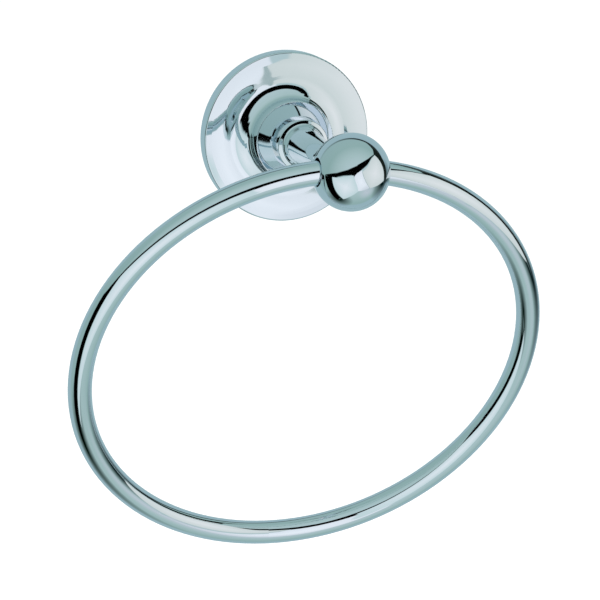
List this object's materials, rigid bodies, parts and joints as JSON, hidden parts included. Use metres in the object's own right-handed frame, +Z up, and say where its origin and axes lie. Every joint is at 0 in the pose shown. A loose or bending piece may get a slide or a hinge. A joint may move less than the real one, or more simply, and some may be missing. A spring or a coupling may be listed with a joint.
{
  "type": "towel ring",
  "caption": "Chrome towel ring: round stepped wall rose, turned neck and bored ball that carries a loose ring, with hidden wall bracket.",
  "frame": {"origin": "centre of the round wall rose, in the wall plane", "axes": "+Z up along the wall, +X to the right seen from the room, +Y into the wall, so the neck stands out along -Y"},
  "size_m": [0.1628, 0.0843, 0.1719],
  "materials": {
    "polished_chrome": "mirror polished chrome plate on brass",
    "zinc_plate": "satin zinc-plated steel",
    "steel": "plain bright steel"
  },
  "bodies": {
    "fixed_part": {"rose": "polished_chrome", "neck": "polished_chrome", "ball": "polished_chrome", "wall_bracket": "zinc_plate", "grub_screw": "steel", "neck_screw": "steel", "neck_washer": "steel"},
    "swinging_ring": {"ring": "polished_chrome", "ring_pin": "steel"}
  },
  "joints": [
    {"name": "ring_swing", "type": "hinge", "parent": "fixed_part", "child": "swinging_ring", "pos_m": [0, -0.0715, 0], "axis": [-1, 0, 0], "range_deg": [0, 231]}
  ]
}
